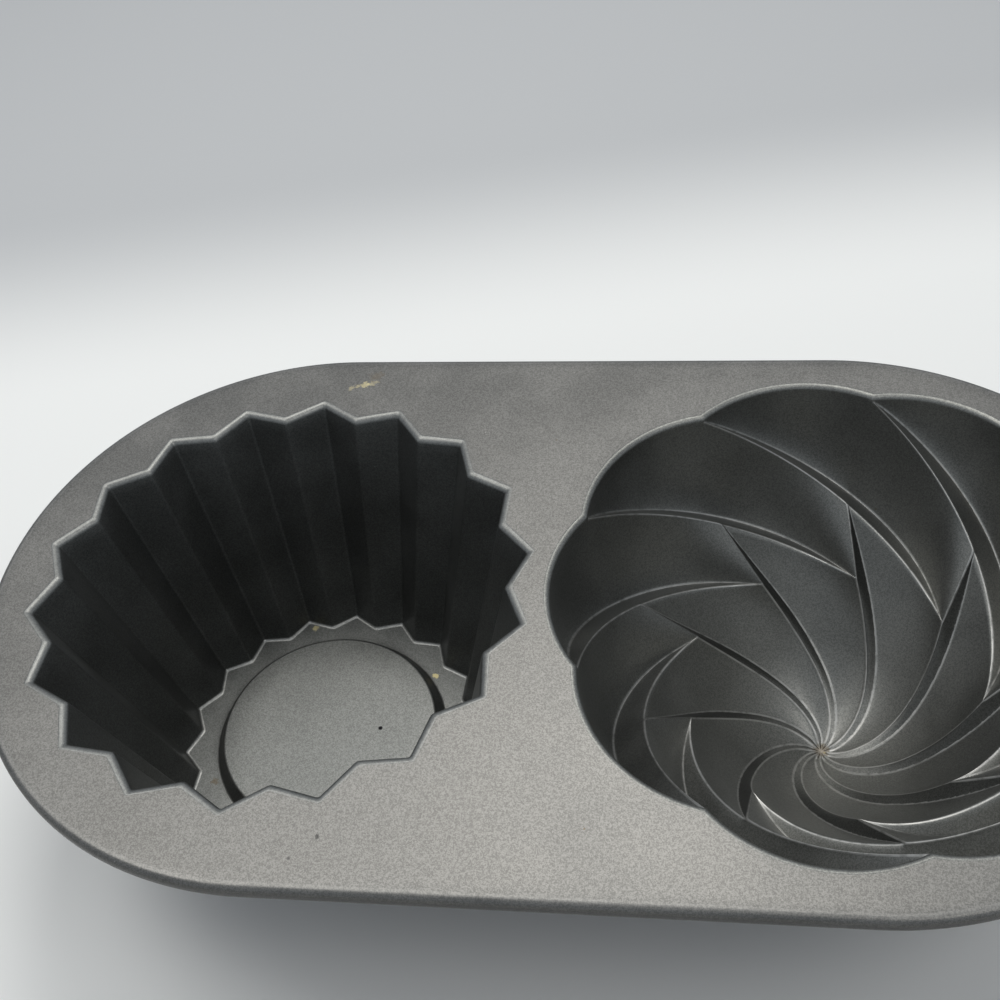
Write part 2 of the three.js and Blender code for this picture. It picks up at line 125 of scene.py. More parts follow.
class SwirlSizes(bpy.types.PropertyGroup):
    petals: count_prop("Petals", "Petals in each tier", 9, 3)
    lobe: size_mm("Lobe radius", "Reach of the rim's lobes", 94.2)
    cusp: size_mm("Cusp radius", "Cusps between the lobes", 89)
    tip: size_mm("Tip radius", "Where an outer petal runs out", 49.9)
    tip_depth: size_mm("Tip depth", "Depth of the outer petals' tips", 54.4)
    tip_turn: angle_prop("Tip turn", "Turn of a crest from its cusp to its tip", 84.1)
    branch_turn: angle_prop("Branch turn", "Turn from the cusp to an inner petal's start", 37.4)
    ledge_width: size_mm("Ledge width", "Step between a crest and its root", 11.3)
    ledge_drop: size_mm("Ledge drop", "Height of that step", 5.9)
    crown_turn: angle_prop("Crown turn", "Turn of an inner petal to the apex", 91.5)
    step_turn: angle_prop("Crown step", "Turn across the crown's steps, at the circle", 6.6)
    circle: size_mm("Circle", "The crown's rows are circles within it", 36)
    wall: size_mm("Wall", "Wall at the rim", 3.6)
    slant_wall: size_mm("Dome wall", "Wall of the dome, along its lean", 4.4)
    foot: size_mm("Foot", "Radius of the foot", 16)
    crease: size_mm("Crease", "Reach of the rounding of crests and roots", 0.55)


class Finish(bpy.types.PropertyGroup):
    base: colour_prop("Coating", "Colour of the non-stick coating", (0.142, 0.141, 0.136))
    # Colour of the lines along crests and roots, partly wear and partly painted highlight, and of
    # light specks
    worn_and_highlight: colour_prop("Worn edge", "Colour of crests where it has rubbed thin", (0.42, 0.42, 0.41))
    residue: colour_prop("Baked residue", "Colour of baked-on fat and crumbs", (0.11, 0.075, 0.03))
    fleck: colour_prop("Fleck", "Colour of dry crumbs", (0.6, 0.53, 0.3))
    pit: colour_prop("Pit", "Colour inside a pit in the coating", (0.012, 0.012, 0.014))
    metallic: share_prop("Metallic", "How metallic the coating is", 0.93)
    roughness: share_prop("Roughness", "Roughness of the coating", 0.43)
    grain: size_mm("Grain", "Size of the coating's grain", 0.34)
    grain_contrast: share_prop("Grain contrast", "How far the grain lightens and darkens it", 0.23)
    # Width of the lines along crests and roots, partly wear and partly painted highlight
    wear_and_highlight_width: size_mm("Wear width", "Width of the worn line along a crest", 0.85)
    # How much shade is painted on the faces of steps and on the flange's side
    step_painted_shade: share_prop("Dark steps", "How much darker the faces of steps are", 0.55)


class Studio(bpy.types.PropertyGroup):
    lamp_size: size_mm("Lamp size", "Side of each soft lamp", 500)
    lamp_height: size_mm("Lamp height", "Height of the lamps over the floor", 1350)
    lamp_power: bpy.props.FloatProperty(
        name="Lamp power", description="Power of all the lamps together", default=17.2,
        unit="POWER")
    lamp_colour: colour_prop("Lamp colour", "Colour of the lamps' light", (1.0, 0.965, 0.91))
    fill: colour_prop("Fill", "Light of the room on dull surfaces", (0.3, 0.3, 0.31))
    backdrop: colour_prop(
        "Backdrop", "Room behind the floor, and what gloss shows", (0.56, 0.6, 0.64))
    floor: colour_prop("Floor", "Floor near the pan", (0.84, 0.88, 0.9))
    # Floor with painted shade, further off behind the pan
    floor_painted_shade: colour_prop("Floor away", "Floor further off, behind the pan", (0.49, 0.52, 0.55))


def mix(a, b, t):
    """The value at a share t of the way from a to b."""
    return a + (b - a) * t


def eased(count):
    """Numbers from 0 to 1, closer at both ends: half a cosine wave."""
    return (1 - np.cos(np.pi * np.linspace(0, 1, count + 1))) / 2


def quarter(count):
    """Sines and cosines of a quarter turn."""
    angle = np.linspace(0, np.pi / 2, count + 1)
    return np.sin(angle), np.cos(angle)


def ring(radius, turn, z, centre_x=0.0):
    """Points at radii and turns round an upright axis, at a height."""
    place = (centre_x + radius * np.cos(turn), radius * np.sin(turn), z)
    return np.stack(np.broadcast_arrays(*place), -1)


def rotated(points, angle):
    """Points turned about Z by an angle."""
    c, s = np.cos(angle), np.sin(angle)
    return points @ np.array([[c, s, 0], [-s, c, 0], [0, 0, 1]])


def closed(loops):
    """A grid with a row for each loop, closed round by its first point."""
    rows = np.stack(loops)
    return np.concatenate([rows, rows[:, :1]], axis=1)


def grid_faces(rows, cols):
    """Quads of a grid of points, numbered row by row."""
    index = np.arange(rows * cols).reshape(rows, cols)
    corners = [index[:-1, :-1], index[1:, :-1], index[1:, 1:], index[:-1, 1:]]
    return np.stack(corners, -1).reshape(-1, 4)


WELD_STEP = 2e-7
# A gap that stands for no crest or root near by, and the least length that is divided by
FAR = 1.0
TINY = 1e-15
# The last value, step, is the share of painted shade that a point gets
CARRIED = ("crest_gap", "root_gap", "outside", "step")


class Patchwork:
    """Grids of points, welded along shared edges into one mesh. Each point carries its distance to
    the nearest crest and root, whether it lies outside, where the coating is coarser, and how much
    shade is painted on it, on the steep face of a step or on the flange's side."""

    def __init__(self):
        self.parts = []
        self.count = 0

    def keep(self, points, values, faces, flat):
        self.parts.append((points, values, faces + self.count, np.full(len(faces), flat)))
        self.count += len(points)

    def add(self, points, crest=FAR, root=FAR, outside=0.0, step=0.0, flat=False):
        """A grid of points, with what they carry."""
        shape = points.shape[:2]
        carried = [np.broadcast_to(value, shape) for value in (crest, root, outside, step)]
        values = np.stack(carried, -1).reshape(-1, len(CARRIED))
        self.keep(points.reshape(-1, 3), values, grid_faces(*shape), flat)

    def add_triangles(self, points, triangles):
        """Flat triangles, kept as quads with a doubled corner."""
        values = np.tile((FAR, FAR, 0.0, 0.0), (len(points), 1))
        self.keep(points, values, triangles[:, [0, 1, 2, 2]], True)

    def weld(self):
        """Merges equal points, with the least of each value that they carry."""
        points, values, faces, flat = (np.concatenate(part) for part in zip(*self.parts))
        keys = np.round(points / WELD_STEP).astype(np.int64)
        _, first, where = np.unique(keys, axis=0, return_index=True, return_inverse=True)
        where = where.ravel()
        least = np.full((len(first), len(CARRIED)), FAR)
        np.minimum.at(least, where, values)
        return points[first], least, where[faces], flat


def unit(vectors):
    """Vectors brought to a length of 1. Those with no length stay so."""
    return vectors / np.maximum(np.linalg.norm(vectors, axis=1, keepdims=True), TINY)


def gathered(index, vectors, count):
    """Sums of the vectors that go to each of a count of points."""
    return np.stack([np.bincount(index, axis, count) for axis in vectors.T], -1)


def normals_of(points, faces):
    """Each point's normal: the mean direction of the faces round it, whatever their sizes."""
    a, b, c, d = (points[corner] for corner in faces.T)
    across = unit(np.cross(c - a, d - b))
    return unit(sum(gathered(corner, across, len(points)) for corner in faces.T))


SOFTEN_ROUNDS = 16
SOFTEN_STRENGTH = 0.5


def soften(points, faces, weight):
    """Rounds creases: points move along their normals towards the level of their neighbours' mean,
    by their weights, a number of times."""
    edges = np.concatenate([faces[:, [i, (i + 1) % 4]] for i in range(4)])
    edges = np.unique(np.sort(edges[edges[:, 0] != edges[:, 1]], axis=1), axis=0)
    here, there = np.concatenate([edges, edges[:, ::-1]]).T
    degree = np.maximum(np.bincount(here, minlength=len(points)), 1)[:, None]
    for _ in range(SOFTEN_ROUNDS):
        mean = gathered(here, points[there], len(points)) / degree
        normal = normals_of(points, faces)
        rise = np.sum(normal * (mean - points), axis=1)
        points = points + (weight * rise)[:, None] * normal
    return points


def face_outwards(mesh):
    """Turns all faces of a closed mesh outwards."""
    work = bmesh.new()
    work.from_mesh(mesh)
    bmesh.ops.recalc_face_normals(work, faces=work.faces)
    work.to_mesh(mesh)
    work.free()


def placed(name, data):
    """A new object in the scene."""
    obj = bpy.data.objects.new(name, data)
    bpy.context.scene.collection.objects.link(obj)
    return obj


def make_object(name, patchwork, look, nodes, crease=None):
    """One coated piece in place of some CAD nodes. Corners that the weld made equal are dropped. A
    crease softens points round crests and roots, less with the square of their distance."""
    points, values, faces, flat = patchwork.weld()
    if crease:
        near = np.min(values[:, :2], axis=1)
        points = soften(points, faces, SOFTEN_STRENGTH * np.exp(-(near / crease) ** 2))
    polygons = [list(dict.fromkeys(corners)) for corners in faces.tolist()]
    kept = np.array([len(corners) > 2 for corners in polygons])
    mesh = bpy.data.meshes.new(name)
    mesh.from_pydata(points.tolist(), [], [corners for corners in polygons if len(corners) > 2])
    mesh.polygons.foreach_set("use_smooth", ~flat[kept])
    for i, label in enumerate(CARRIED):
        attribute = mesh.attributes.new(label, "FLOAT", "POINT")
        attribute.data.foreach_set("value", values[:, i].astype(np.float32))
    mesh.validate()
    face_outwards(mesh)
    mesh.materials.append(coating(look, name))
    obj = placed(name, mesh)
    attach(obj, "root")
    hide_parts(*nodes)
    return obj


# Steps along rounded edges, and along the fillet under the swirl's mouth
ROUND_STEPS = 6
SKIRT_STEPS = 4
# Flat strips that join a rounded edge to the flat faces beside it
LAND = 0.35 * MM
# Along the flange's edge it is wide enough for the painted highlight line to end on
RIM_LAND = 3 * MM


def mouth_profile(mouth_round):
    """Heights and offsets of a cavity's mouth, from the flat flange round to the wall."""
    sine, cosine = quarter(ROUND_STEPS)
    heights = np.concatenate([[HEIGHT], HEIGHT - mouth_round * (1 - cosine)])
    offsets = np.concatenate([[mouth_round + LAND], mouth_round * (1 - sine)])
    return heights, offsets


def flare_profile(wall, flare, steps):
    """Heights and offsets of the fillet from the flange's underside to a cavity's outside."""
    sine, cosine = quarter(steps)
    return UNDERSIDE - flare * (1 - cosine), wall + flare * (1 - sine)


def foot_profile(radius, level, offset):
    """Heights and offsets of a quarter round, from an upright wall in to a level face."""
    sine, cosine = quarter(ROUND_STEPS)
    return level + radius * (1 - sine[1:]), offset - radius * (1 - cosine[1:])


def s_curve(x0, z0, x1, z1, radius):
    """Radii and heights of a drafted step, rounded alike at its foot and at its edge."""
    slope = np.arctan2(z1 - z0, x0 - x1)
    arc = np.linspace(0, slope, ROUND_STEPS + 1)
    back = arc[::-1]
    tangent = radius * np.tan(slope / 2)
    foot = (x0 + tangent - radius * np.sin(arc), z0 + radius * (1 - np.cos(arc)))
    edge = (x1 - tangent + radius * np.sin(back), z1 - radius * (1 - np.cos(back)))
    return np.concatenate([np.stack(foot, -1), np.stack(edge, -1)])


# Steps round a flute's corners and along its flanks, and rows down the wall and over the floor
CORNER_STEPS = 5
FLANK_STEPS = 4
WALL_ROWS = 24
FLOOR_ROWS = 8
# Rows over the disc's top, the sole and the recess, as shares of the way or of the radius
DISC_SHARES = (0.75, 0.5, 0.25, 0)
SOLE_SHARES = (0.5, 1)
RECESS_SHARES = (0.5, 0)
RECESS_ROUND = 1 * MM
CUP_HEM = 1.4 * MM
# Where the light line round the cup's mouth lies, partly wear and partly painted highlight, as a
# share of the rounding's height
RIM_LINE_SHARE = 0.75


def cup_loop(sizes, z, offset=0.0):
    """Fluted outline: valleys and tips in turn, on radii that grow evenly with the height, and
    moved square to the flanks by offset. Flanks are straight, and corners are parabolas."""
    height_share = (z - FLOOR_TOP) / CAVITY_DEPTH
    tip = mix(sizes.base_tip, sizes.mouth_tip, height_share)
    valley = tip - mix(sizes.base_flute, sizes.mouth_flute, height_share)
    half = np.pi / sizes.flutes
    run = valley * np.sin(half)
    rise = tip - valley * np.cos(half)
    corner = np.arange(2 * sizes.flutes)
    radius = np.where(corner % 2, tip, valley) + offset * np.hypot(run, rise) / run
    corners = ring(radius, half * corner, z, CUP_X)
    back, ahead = (np.roll(corners, way, axis=0) - corners for way in (1, -1))
    middle = corners[:, None]
    start = middle + unit(back)[:, None] * sizes.corner
    end = middle + unit(ahead)[:, None] * sizes.corner
    t = np.linspace(0, 1, CORNER_STEPS + 1)[None, :, None]
    bend = mix(mix(start, middle, t), mix(middle, end, t), t)
    s = np.linspace(0, 1, FLANK_STEPS + 1)[None, 1:-1, None]
    flank = mix(end, np.roll(start, -1, axis=0), s)
    return np.concatenate([bend, flank], axis=1).reshape(-1, 3)


def cup_loops(sizes, heights, offsets):
    return [cup_loop(sizes, z, offset) for z, offset in zip(heights, offsets)]


def circle_like(loop, radius, z):
    """A circle round the cup's axis with as many points as a loop, each at the same turn."""
    return ring(radius, np.arctan2(loop[:, 1], loop[:, 0] - CUP_X), z, CUP_X)


def to_middle(last, step, level_shares, top_shares):
    """Rows from a fluted loop over a level ring, up a step from its foot, and to the middle."""
    foot = circle_like(last, *step[0])
    radius, top = step[-1]
    rows = [mix(last, foot, t) for t in level_shares]
    rows += [circle_like(last, radius, z) for radius, z in step[1:]]
    return rows + [circle_like(last, radius * t, top) for t in top_shares]


def cup_seams(sizes, flange):
    """Where the cup meets the flange's top and its underside."""
    top = cup_loop(sizes, HEIGHT, flange.mouth_round + LAND)
    return top, cup_loop(sizes, UNDERSIDE, sizes.wall + flange.flare)


def cup_inside(sizes, flange):
    """Rows of the rounded mouth, the wall, its fillet, the floor and the disc. The floor's rows are
    spaced by squares, so that the shading of the fillet ends close to it."""
    fillet = sizes.floor_fillet
    heights, offsets = mouth_profile(flange.mouth_round)
    rows = cup_loops(sizes, heights, offsets)
    rows += [cup_loop(sizes, z)
             for z in np.linspace(heights[-1], FLOOR_TOP + fillet, WALL_ROWS + 1)[1:]]
    rows += cup_loops(sizes, *foot_profile(fillet, FLOOR_TOP, 0.0))
    disc = s_curve(sizes.disc_foot, FLOOR_TOP, sizes.disc_top, DISC_TOP, sizes.disc_round)
    floor_shares = np.linspace(0, 1, FLOOR_ROWS + 1)[1:] ** 2
    return closed(rows + to_middle(rows[-1], disc, floor_shares, DISC_SHARES))


def cup_outside(sizes, flange):
    """Rows of the flare under the flange, the wall, the hem, the sole and the recess."""
    wall = sizes.wall
    rows = cup_loops(sizes, *flare_profile(wall, flange.flare, ROUND_STEPS))
    wall_heights = np.linspace(UNDERSIDE - flange.flare, CUP_HEM, WALL_ROWS // 2 + 1)
    rows += [cup_loop(sizes, z, wall) for z in wall_heights[1:]]
    rows += cup_loops(sizes, *foot_profile(CUP_HEM, 0, wall))
    foot, top = sizes.disc_foot - FLOOR_TOP, sizes.disc_top - FLOOR_TOP
    recess = s_curve(foot, 0, top, DISC_TOP - FLOOR_TOP, RECESS_ROUND)
    return closed(rows + to_middle(rows[-1], recess, SOLE_SHARES, RECESS_SHARES))


def make_cup(sizes, flange, look):
    """The fluted cup, closed between its inside and its outside by a band inside the flange."""
    work = Patchwork()
    inside = cup_inside(sizes, flange)
    z = inside[..., 2]
    wall_top = HEIGHT - flange.mouth_round
    # Light lines round the mouth's rounding and along the floor's fillet, partly wear and partly
    # painted highlight
    rim_line = mix(wall_top, HEIGHT, RIM_LINE_SHARE)
    rim_gap = np.where(z > wall_top, np.abs(z - rim_line), HEIGHT - z)
    reach = np.linalg.norm(inside[..., :2] - (CUP_X, 0), axis=-1)
    wall_gap = np.where(reach > sizes.disc_foot, z - FLOOR_TOP, FAR)
    floor_gap = np.where(z > FLOOR_TOP + WELD_STEP, wall_gap, sizes.floor_fillet)
    work.add(inside, crest=rim_gap, root=floor_gap)
    work.add(cup_outside(sizes, flange), outside=1.0)
    work.add(closed(cup_seams(sizes, flange)), flat=True)
    return make_object("cup", work, look, ("cup_wall", "cup_floor", "cup_floor_disc"))


# Grid steps of one ninth of the swirl's inside, and how many times fewer its outside has
LOBE_STEPS = 44
CREST_STEPS = 40
ACROSS_STEPS = 34
CROWN_STEPS = 44
LEDGE_STEPS = 8
BAND_STEPS = 6
THIN = 2
CROWN_ROW_POWER = 1.15
# Shade painted on the steps' faces, none near the middle and growing outwards, and less on the
# ledges
STEP_UNSHADED_REACH = 14 * MM
STEP_SHADE_GROWS_OVER = 18 * MM
LEDGE_PAINTED_SHADE = 0.35
# Powers and shares of the curves, as in the CAD
CREST_SAG_POWERS = (1.8, 1.04)
LEDGE_POWERS = (0.9, 1.4)
LEDGE_DROP_POWER = 1.2
SCOOP_SHARE = 0.6
SCOOP_FADE_POWER = 3
CROWN_SPIRAL_POWERS = (0.845, 1.376)
CROWN_SPIRAL_BLEND = -0.782
CROWN_TURN_POWER = 0.4
CROWN_SLOPES = (0.295, 0.487)
CROWN_STEP = 0.07
CROWN_SCOOP_POWER = 1.4
LEAST_RADIUS = 1 * MM
# Greatest lean of the wall over the dome, and how far under the rim it is upright
DOME_LEAN = math.radians(40)
UPRIGHT_REACH = 5 * MM
# Heights and set-backs of the rows round the foot under the apex
FOOT_ROWS = ((1.0 * MM, 1.0 * MM), (0.3 * MM, 1.3 * MM), (0.0, 2.0 * MM))


class Swirl:
    """Curves of the swirl's inside. Turns are clockwise from the cusp that a crest starts at."""

    def __init__(self, sizes, start_depth):
        self.sizes = sizes
        self.start_depth = start_depth
        self.pitch = 2 * np.pi / sizes.petals
        self.first_angle = np.pi - self.pitch / 2
        self.branch_radius = self.crest_radius(sizes.branch_turn)

    def place(self, turn, radius, depth):
        return ring(radius, self.first_angle - turn, HEIGHT - depth)

    def lobe_radius(self, turn, offset=0.0):
        """Rim radius: arcs of circles between the cusps, widened by offset."""
        s = self.sizes
        away = np.mod(turn, self.pitch) - self.pitch / 2
        chord = s.cusp * np.sin(self.pitch / 2)
        sagitta = s.lobe - s.cusp * np.cos(self.pitch / 2)
        arc = (chord ** 2 + sagitta ** 2) / (2 * sagitta)
        centre = s.lobe - arc
        across = centre * np.sin(away)
        return centre * np.cos(away) + np.sqrt((arc + offset) ** 2 - across ** 2)

    def crest_radius(self, turn):
        """A logarithmic spiral from the cusp to the tip."""
        s = self.sizes
        return s.cusp * (s.tip / s.cusp) ** (turn / s.tip_turn)

    def crest_depth(self, turn):
        """Depth along a crest, which eases out towards its tip."""
        sag, ease = CREST_SAG_POWERS
        share = 1 - np.clip(1 - turn / self.sizes.tip_turn, 0, 1) ** sag
        return mix(self.start_depth, self.sizes.tip_depth, np.clip(share, 0, 1) ** ease)

    def ledge(self, turn):
        """Width of the ledge, from 0 at the cusp through 1 to 0 at the tip."""
        a, b = LEDGE_POWERS
        share = np.clip(turn / self.sizes.tip_turn, 0, 1)
        return share ** a * (1 - share) ** b / ((a / (a + b)) ** a * (b / (a + b)) ** b)

    def crest(self, turn):
        return self.place(turn, self.crest_radius(turn), self.crest_depth(turn))

    def root(self, turn):
        """The root lies outside its crest and below it, by the ledge."""
        ledge = self.ledge(turn)
        radius = self.crest_radius(turn) + self.sizes.ledge_width * ledge
        depth = self.crest_depth(turn) + self.sizes.ledge_drop * ledge ** LEDGE_DROP_POWER
        return self.place(turn, radius, depth)

    def crown_root_turn(self, radius):
        """Turn of an inner petal's root: two powers of the radius, one taken off the other."""
        first, second = ((radius / self.branch_radius) ** power for power in CROWN_SPIRAL_POWERS)
        share = mix(first, second, CROWN_SPIRAL_BLEND)
        return self.sizes.branch_turn + self.sizes.crown_turn * (1 - share)

    def crown_width(self, radius):
        """Turn from an inner petal's root to the next crest: a pitch less the step's turn."""
        s = self.sizes
        inwards = s.circle / np.maximum(radius, LEAST_RADIUS)
        return self.pitch - s.step_turn * inwards ** CROWN_TURN_POWER

    def crown_depth(self, radius, share):
        """Depth of the crown: a cubic fall to the apex, less the rise from root to crest."""
        linear, cubic = CROWN_SLOPES
        out = radius / self.branch_radius
        step = CROWN_STEP * radius * share ** CROWN_SCOOP_POWER
        return CAVITY_DEPTH * (1 - linear * out - cubic * out ** 3) - step

    def crown(self, row, share):
        """Inner petal. Rows run from 0 at the crest through 1 at the circle to 2 at the apex."""
        s = self.sizes
        edge_turn = mix(s.branch_turn, s.tip_turn, share)
        edge_radius = self.crest_radius(edge_turn)
        blend = np.clip(1 - row, 0, 1)
        radius = np.where(row < 1, mix(s.circle, edge_radius, blend), s.circle * (2 - row))
        edge_root = self.crown_root_turn(edge_radius)
        swing = edge_turn - edge_root - share * self.crown_width(edge_radius)
        lift = self.crest_depth(edge_turn) - self.crown_depth(edge_radius, share)
        turn = self.crown_root_turn(radius) + share * self.crown_width(radius) + swing * blend ** 2
        return self.place(turn, radius, self.crown_depth(radius, share) + lift * blend ** 2)


def scooped(top, low, share):
    """Points between two edges, on a section that drops steeply and runs out: part line, part
    quarter ellipse. The ellipse's part fades along the petal to a straight end edge."""
    quarter_turn = share[None] * np.pi / 2
    along = np.linspace(0, 1, len(top))[:, None]
    belly = SCOOP_SHARE * (1 - along ** SCOOP_FADE_POWER)
    across = mix(share[None], 1 - np.cos(quarter_turn), belly)
    down = mix(share[None], np.sin(quarter_turn), belly)
    return mix(top[:, None], low[:, None], np.stack([across, across, down], -1))


def lengths_along(points):
    """Length along the second axis of a grid, from its first column and from its last."""
    step = np.linalg.norm(np.diff(points, axis=1), axis=-1)
    ahead = np.concatenate([np.zeros((len(points), 1)), np.cumsum(step, axis=1)], axis=1)
    return ahead, ahead[:, -1:] - ahead


def swirl_patches(swirl, thin=1, last_row=2.0):
    """Patches of one petal pair, as (points, distance to a crest and to a root, share of painted
    shade on a step's face): the outer petal, its ledge, the inner petal, and the step down to the
    next one.
    Grids have thin times fewer steps, and the inner petal ends at its last row."""
    s = swirl.sizes
    lobe, crest_steps, across, rows, ledge_steps, band_steps = (steps // thin for steps in (
        LOBE_STEPS, CREST_STEPS, ACROSS_STEPS, CROWN_STEPS, LEDGE_STEPS, BAND_STEPS))
    lobe_turns = np.linspace(0, swirl.pitch, lobe + 1)[:-1]
    crest_turns = np.linspace(0, s.branch_turn, crest_steps + 1)
    tail_share = eased(lobe)
    line_turns = np.concatenate([crest_turns, mix(s.branch_turn, s.tip_turn, tail_share)[1:]])
    rim = swirl.place(lobe_turns, swirl.lobe_radius(lobe_turns), swirl.start_depth)
    top = np.concatenate([rim, rotated(swirl.crest(crest_turns), -swirl.pitch)])
    crest_line = swirl.crest(line_turns)
    low = swirl.root(line_turns)
    low[[0, -1]] = crest_line[[0, -1]]
    top[0] = low[0]
    petal = scooped(top, low, eased(across))
    petal[0] = low[0]
    from_top, to_root = lengths_along(petal)
    on_crest = np.arange(len(top))[:, None] >= lobe
    patches = [(petal, np.where(on_crest, from_top, FAR), to_root, 0.0)]

    ledge = mix(crest_line[:, None], low[:, None], eased(ledge_steps)[None, :, None])
    patches.append((ledge, *lengths_along(ledge), LEDGE_PAINTED_SHADE))

    outer_rows = rows // 2
    outer = np.linspace(0, 1, outer_rows + 1) ** CROWN_ROW_POWER
    inner = np.linspace(1, last_row, rows - outer_rows + 1)
    crown = swirl.crown(np.concatenate([outer, inner[1:]])[:, None], tail_share[None])
    crown[0] = crest_line[crest_steps:]
    from_root, to_crest = lengths_along(crown)
    from_tail, _ = lengths_along(crown.transpose(1, 0, 2))
    patches.append((crown, np.minimum(to_crest, from_tail.T), from_root, 0.0))

    # The upper edge has more points than the lower, so some rows end on the same one
    upper = rotated(np.concatenate([petal[-1], crown[1:, -1]]), swirl.pitch)
    lower = crown[:, 0]
    level = np.searchsorted(-np.linalg.norm(lower[:, :2], axis=1), -s.tip)
    end_rows = np.arange(across + 1) / across * level
    rest_rows = level + np.arange(1, rows + 1) / rows * (rows - level)
    where = np.concatenate([end_rows, rest_rows])
    smooth = [np.interp(where, np.arange(rows + 1), lower[:, axis]) for axis in range(3)]
    t = eased(band_steps)[None, :, None]
    band = mix(upper[:, None], np.stack(smooth, -1)[:, None], t)
    band[:, -1] = lower[np.floor(where + 0.5).astype(int)]
    # Painted shade on the step's face, growing away from the middle
    reach = np.linalg.norm(band[..., :2], axis=-1)
    painted_shade = np.clip((reach - STEP_UNSHADED_REACH) / STEP_SHADE_GROWS_OVER, 0, 1)
    patches.append((band, *lengths_along(band), painted_shade))
    return patches


def outward(swirl, points):
    """The inside moved out by the wall: level at the rim, leaning down over the dome, and straight
    down at the foot."""
    s = swirl.sizes
    radius = np.linalg.norm(points[..., :2], axis=-1)
    out = np.clip((radius - s.foot) / (s.cusp - s.foot), 0, 1)
    below = np.clip(HEIGHT - swirl.start_depth - points[..., 2], 0, None)
    upright = np.exp(-(below / UPRIGHT_REACH) ** 2)
    lean = mix(DOME_LEAN * np.sqrt(out), np.pi / 2, upright)
    length = mix(s.slant_wall, s.wall, upright)
    grown = 1 + length * np.sin(lean) / np.maximum(radius, LEAST_RADIUS)
    x, y, z = np.moveaxis(points, -1, 0)
    return np.stack([x * grown, y * grown, z - length * np.cos(lean)], -1)


def lobe_loop(swirl, z, offset, thin=1):
    """Rim outline of the whole swirl, anticlockwise, with the patches' points."""
    turns = np.linspace(0, swirl.pitch, LOBE_STEPS // thin + 1)[:-1]
    petals = np.arange(swirl.sizes.petals)[:, None]
    angle = (petals * swirl.pitch - turns[None] + swirl.first_angle).ravel()
    radius = np.tile(swirl.lobe_radius(turns, offset), swirl.sizes.petals)
    order = np.argsort(np.mod(angle, 2 * np.pi))
    return ring(radius[order], angle[order], z)


def lobe_loops(swirl, heights, offsets, thin=1):
    return [lobe_loop(swirl, z, offset, thin) for z, offset in zip(heights, offsets)]


def swirl_seams(sizes, flange):
    """Where the swirl meets the flange's top, and its underside with fewer points."""
    swirl = Swirl(sizes, flange.mouth_round)
    top = lobe_loop(swirl, HEIGHT, flange.mouth_round + LAND)
    under = lobe_loop(swirl, UNDERSIDE, sizes.wall + flange.flare, THIN)
    return top + SWIRL_SHIFT, under + SWIRL_SHIFT


def swirl_skirt(swirl, flange):
    """Rows from the flange's underside to the upper edge of the swirl's outside."""
    heights, offsets = flare_profile(swirl.sizes.wall, flange.flare, SKIRT_STEPS)
    rows = lobe_loops(swirl, heights[:-1], offsets[:-1], THIN)
    return rows + [outward(swirl, lobe_loop(swirl, heights[-1], 0.0, THIN))]


def swirl_foot(swirl, patches):
    """Rows from the lower edge of the outside, round all petals, to the middle of the foot."""
    crown, band = patches[2][0], patches[3][0]
    one = np.concatenate([crown[-1][::-1], band[-1][::-1][1:-1]])
    loops = [rotated(one, petal * swirl.pitch) for petal in range(swirl.sizes.petals)]
    edge = outward(swirl, np.concatenate(loops))
    turn = np.arctan2(edge[:, 1], edge[:, 0])
    rows = [ring(swirl.sizes.foot - set_back, turn, z) for z, set_back in FOOT_ROWS]
    return [edge, *rows, ring(0.0, turn, 0.0)]


def make_swirl(sizes, flange, look):
    """The swirl: copies of its petals inside and outside, mouth, skirt and foot. Grids of the
    outside run backwards, as they are seen from below."""
    work = Patchwork()
    inner = Swirl(sizes, flange.mouth_round)
    outer = Swirl(sizes, HEIGHT - UNDERSIDE + flange.flare)
    turns = inner.pitch * np.arange(sizes.petals)
    # Each patch carries its share of painted shade as step
    for points, crest, root, step in swirl_patches(inner):
        for turn in turns:
            work.add(rotated(points, turn) + SWIRL_SHIFT, crest, root, step=step)
    work.add(closed(lobe_loops(inner, *mouth_profile(flange.mouth_round))) + SWIRL_SHIFT)

    outside = swirl_patches(outer, THIN, 2 - sizes.foot / sizes.circle)
    for points, *_ in outside:
        moved = outward(outer, points)[:, ::-1]
        for turn in turns:
            work.add(rotated(moved, turn) + SWIRL_SHIFT, outside=1.0)
    for rows in (swirl_skirt(outer, flange), swirl_foot(outer, outside)):
        work.add(closed(rows[::-1]) + SWIRL_SHIFT, outside=1.0)
    work.add_triangles(*ribbon(*swirl_seams(sizes, flange)))
    nodes = ("swirl_petals", "swirl_crown", "swirl_apex")
    return make_object("swirl", work, look, nodes, sizes.crease)


def ribbon(top, low):
    """Triangles between two loops matched by turn, the first with several times the points."""
    n, m = len(top), len(low)
    each = n // m
    i = np.arange(n)
    first = np.stack([i, (i + 1) % n, n + i // each], -1)
    j = np.arange(m)
    second = np.stack([each * (j + 1) % n, n + (j + 1) % m, n + j], -1)
    return np.concatenate([top, low]), np.concatenate([first, second])


# Steps round each end of the flange
END_STEPS = 96
# Half the height of the parting line's groove
PARTING_LINE = 0.25 * MM
# How much faster the light line along the parting line, partly wear and partly painted highlight,
# fades inwards than up and down
LINE_FADES_IN = 10
# How much shade is painted on the flange's side, as a share of that on the swirl's darkest steps
SIDE_PAINTED_SHADE = 0.7
# Triangles with a smaller double area, in square metres, are left out
LEAST_AREA = 1e-14


def flange_loop(inset, z):
    """Flange outline drawn in by inset: a half circle at each end, anticlockwise."""
    turn = np.linspace(-np.pi / 2, np.pi / 2, END_STEPS + 1)
    radius = END_RADIUS - inset
    return np.concatenate([ring(radius, turn, z, END_X), ring(-radius, turn, z, -END_X)])


